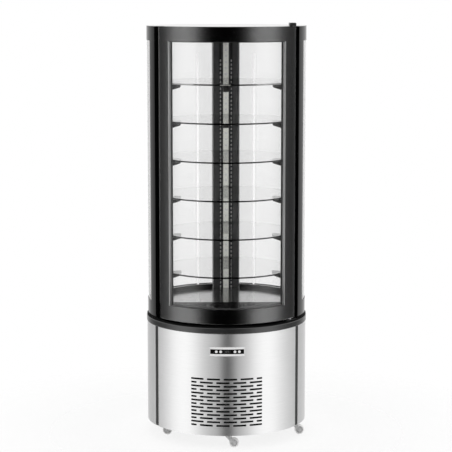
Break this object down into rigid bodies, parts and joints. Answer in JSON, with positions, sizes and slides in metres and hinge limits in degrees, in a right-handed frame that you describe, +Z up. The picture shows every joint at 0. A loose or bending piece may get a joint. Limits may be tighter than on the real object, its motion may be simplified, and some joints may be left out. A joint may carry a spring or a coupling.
{
  "type": "cake display case",
  "caption": "Round refrigerated glass display case with a curved hinged door, round glass shelves, a steel base with a vented front and castors.",
  "frame": {"origin": "centre of the round plan on the floor under the castors", "axes": "+Z up, -Y is the front with the door and the controller, +X to the right seen from the front"},
  "size_m": [0.68, 0.68, 1.744],
  "materials": {
    "brushed_panel": "brushed",
    "dark_trim": "satin",
    "mirror_deck": "mirror polished",
    "black_gloss": "gloss black coating",
    "black_cap": "gloss",
    "black_metal": "satin",
    "black_steel_can": "satin",
    "black_plastic": "satin",
    "black_liner": "matte",
    "pale_cover": "satin",
    "pale_plastic": "satin",
    "light_diffuser": "frosted",
    "clear_glass": "clear",
    "spacer_bar": "satin",
    "seal_rubber": "matte",
    "galvanised": "galvanised",
    "zinc": "zinc plated",
    "fins": "satin",
    "copper_pipe": "bare copper",
    "castor_tyre": "satin"
  },
  "bodies": {
    "case": {"base_pan": "galvanised", "base_posts": "black_metal", "front_panel": "brushed_panel", "rear_panel": "brushed_panel", "mains_inlet": "black_plastic", "rear_panel_screws": "zinc", "trim_ring": "dark_trim", "deck_tub": "black_liner", "deck_plate": "mirror_deck", "front_air_sill": "black_gloss", "rear_column": "black_metal", "shelf_uprights": "black_metal", "light_strip": "light_diffuser", "shelf_brackets": "black_plastic", "lower_rails": "black_gloss", "side_glass_right": "clear_glass", "side_glass_left": "clear_glass", "glass_spacers": "spacer_bar", "pillar_right": "black_gloss", "pillar_left": "black_gloss", "top_cap": "black_cap", "top_cover": "pale_cover", "upper_hinge": "black_metal", "lower_hinge": "zinc", "controller_bezel": "pale_plastic", "controller_face": "black_plastic", "compressor": "black_steel_can", "condenser_coil": "fins", "fan_shroud": "galvanised", "evaporator_unit": "fins", "pipework": "copper_pipe", "castor_plates": "zinc"},
    "door": {"door_frame": "black_gloss", "door_outer_glass": "clear_glass", "door_inner_glass": "clear_glass", "door_spacer": "spacer_bar", "door_gasket": "seal_rubber"},
    "button_1": {"button_1": "pale_plastic"},
    "button_2": {"button_2": "pale_plastic"},
    "button_3": {"button_3": "pale_plastic"},
    "button_4": {"button_4": "pale_plastic"},
    "condenser_fan": {"condenser_fan": "black_plastic"},
    "evaporator_fan": {"evaporator_fan": "black_plastic"},
    "castor_1_fork": {"castor_1_fork": "zinc"},
    "castor_1_wheel": {"castor_1_wheel": "castor_tyre"},
    "castor_2_fork": {"castor_2_fork": "zinc"},
    "castor_2_wheel": {"castor_2_wheel": "castor_tyre"},
    "castor_3_fork": {"castor_3_fork": "zinc"},
    "castor_3_wheel": {"castor_3_wheel": "castor_tyre"},
    "castor_4_fork": {"castor_4_fork": "zinc"},
    "castor_4_wheel": {"castor_4_wheel": "castor_tyre"},
    "castor_5_fork": {"castor_5_fork": "zinc"},
    "castor_5_wheel": {"castor_5_wheel": "castor_tyre"},
    "shelf_1": {"shelf_1": "clear_glass"},
    "shelf_2": {"shelf_2": "clear_glass"},
    "shelf_3": {"shelf_3": "clear_glass"},
    "shelf_4": {"shelf_4": "clear_glass"},
    "shelf_5": {"shelf_5": "clear_glass"},
    "shelf_6": {"shelf_6": "clear_glass"}
  },
  "joints": [
    {"name": "door_hinge", "type": "hinge", "parent": "case", "child": "door", "pos_m": [0.26149, -0.18446, 0.525], "axis": [0, 0, 1], "range_deg": [0, 110]},
    {"name": "button_1_press", "type": "slide", "parent": "case", "child": "button_1", "axis": [0, 1, 0], "range_m": [0, 0.0012], "stiffness_N_per_m": 300},
    {"name": "button_2_press", "type": "slide", "parent": "case", "child": "button_2", "axis": [0, 1, 0], "range_m": [0, 0.0012], "stiffness_N_per_m": 300},
    {"name": "button_3_press", "type": "slide", "parent": "case", "child": "button_3", "axis": [0, 1, 0], "range_m": [0, 0.0012], "stiffness_N_per_m": 300},
    {"name": "button_4_press", "type": "slide", "parent": "case", "child": "button_4", "axis": [0, 1, 0], "range_m": [0, 0.0012], "stiffness_N_per_m": 300},
    {"name": "condenser_fan_spin", "type": "hinge", "parent": "case", "child": "condenser_fan", "pos_m": [0, -0.2, 0.1975], "axis": [0, 1, 0], "continuous": true},
    {"name": "evaporator_fan_spin", "type": "hinge", "parent": "case", "child": "evaporator_fan", "pos_m": [0, -0.04, 0.51], "axis": [0, 0, 1], "continuous": true},
    {"name": "castor_1_swivel", "type": "hinge", "parent": "case", "child": "castor_1_fork", "pos_m": [0, -0.296, 0.05], "axis": [0, 0, 1], "continuous": true},
    {"name": "castor_1_roll", "type": "hinge", "parent": "castor_1_fork", "child": "castor_1_wheel", "pos_m": [0.029, -0.296, 0.02], "axis": [0, 1, 0], "continuous": true},
    {"name": "castor_2_swivel", "type": "hinge", "parent": "case", "child": "castor_2_fork", "pos_m": [0.28151, -0.09147, 0.05], "axis": [0, 0, 1], "continuous": true},
    {"name": "castor_2_roll", "type": "hinge", "parent": "castor_2_fork", "child": "castor_2_wheel", "pos_m": [0.31051, -0.09147, 0.02], "axis": [0, 1, 0], "continuous": true},
    {"name": "castor_3_swivel", "type": "hinge", "parent": "case", "child": "castor_3_fork", "pos_m": [0.17398, 0.23947, 0.05], "axis": [0, 0, 1], "continuous": true},
    {"name": "castor_3_roll", "type": "hinge", "parent": "castor_3_fork", "child": "castor_3_wheel", "pos_m": [0.20298, 0.23947, 0.02], "axis": [0, 1, 0], "continuous": true},
    {"name": "castor_4_swivel", "type": "hinge", "parent": "case", "child": "castor_4_fork", "pos_m": [-0.17398, 0.23947, 0.05], "axis": [0, 0, 1], "continuous": true},
    {"name": "castor_4_roll", "type": "hinge", "parent": "castor_4_fork", "child": "castor_4_wheel", "pos_m": [-0.14498, 0.23947, 0.02], "axis": [0, 1, 0], "continuous": true},
    {"name": "castor_5_swivel", "type": "hinge", "parent": "case", "child": "castor_5_fork", "pos_m": [-0.28151, -0.09147, 0.05], "axis": [0, 0, 1], "continuous": true},
    {"name": "castor_5_roll", "type": "hinge", "parent": "castor_5_fork", "child": "castor_5_wheel", "pos_m": [-0.25251, -0.09147, 0.02], "axis": [0, 1, 0], "continuous": true},
    {"name": "shelf_1_lift", "type": "slide", "parent": "case", "child": "shelf_1", "axis": [0, 0, 1], "range_m": [0, 0.05]},
    {"name": "shelf_2_lift", "type": "slide", "parent": "case", "child": "shelf_2", "axis": [0, 0, 1], "range_m": [0, 0.05]},
    {"name": "shelf_3_lift", "type": "slide", "parent": "case", "child": "shelf_3", "axis": [0, 0, 1], "range_m": [0, 0.05]},
    {"name": "shelf_4_lift", "type": "slide", "parent": "case", "child": "shelf_4", "axis": [0, 0, 1], "range_m": [0, 0.05]},
    {"name": "shelf_5_lift", "type": "slide", "parent": "case", "child": "shelf_5", "axis": [0, 0, 1], "range_m": [0, 0.05]},
    {"name": "shelf_6_lift", "type": "slide", "parent": "case", "child": "shelf_6", "axis": [0, 0, 1], "range_m": [0, 0.05]}
  ]
}
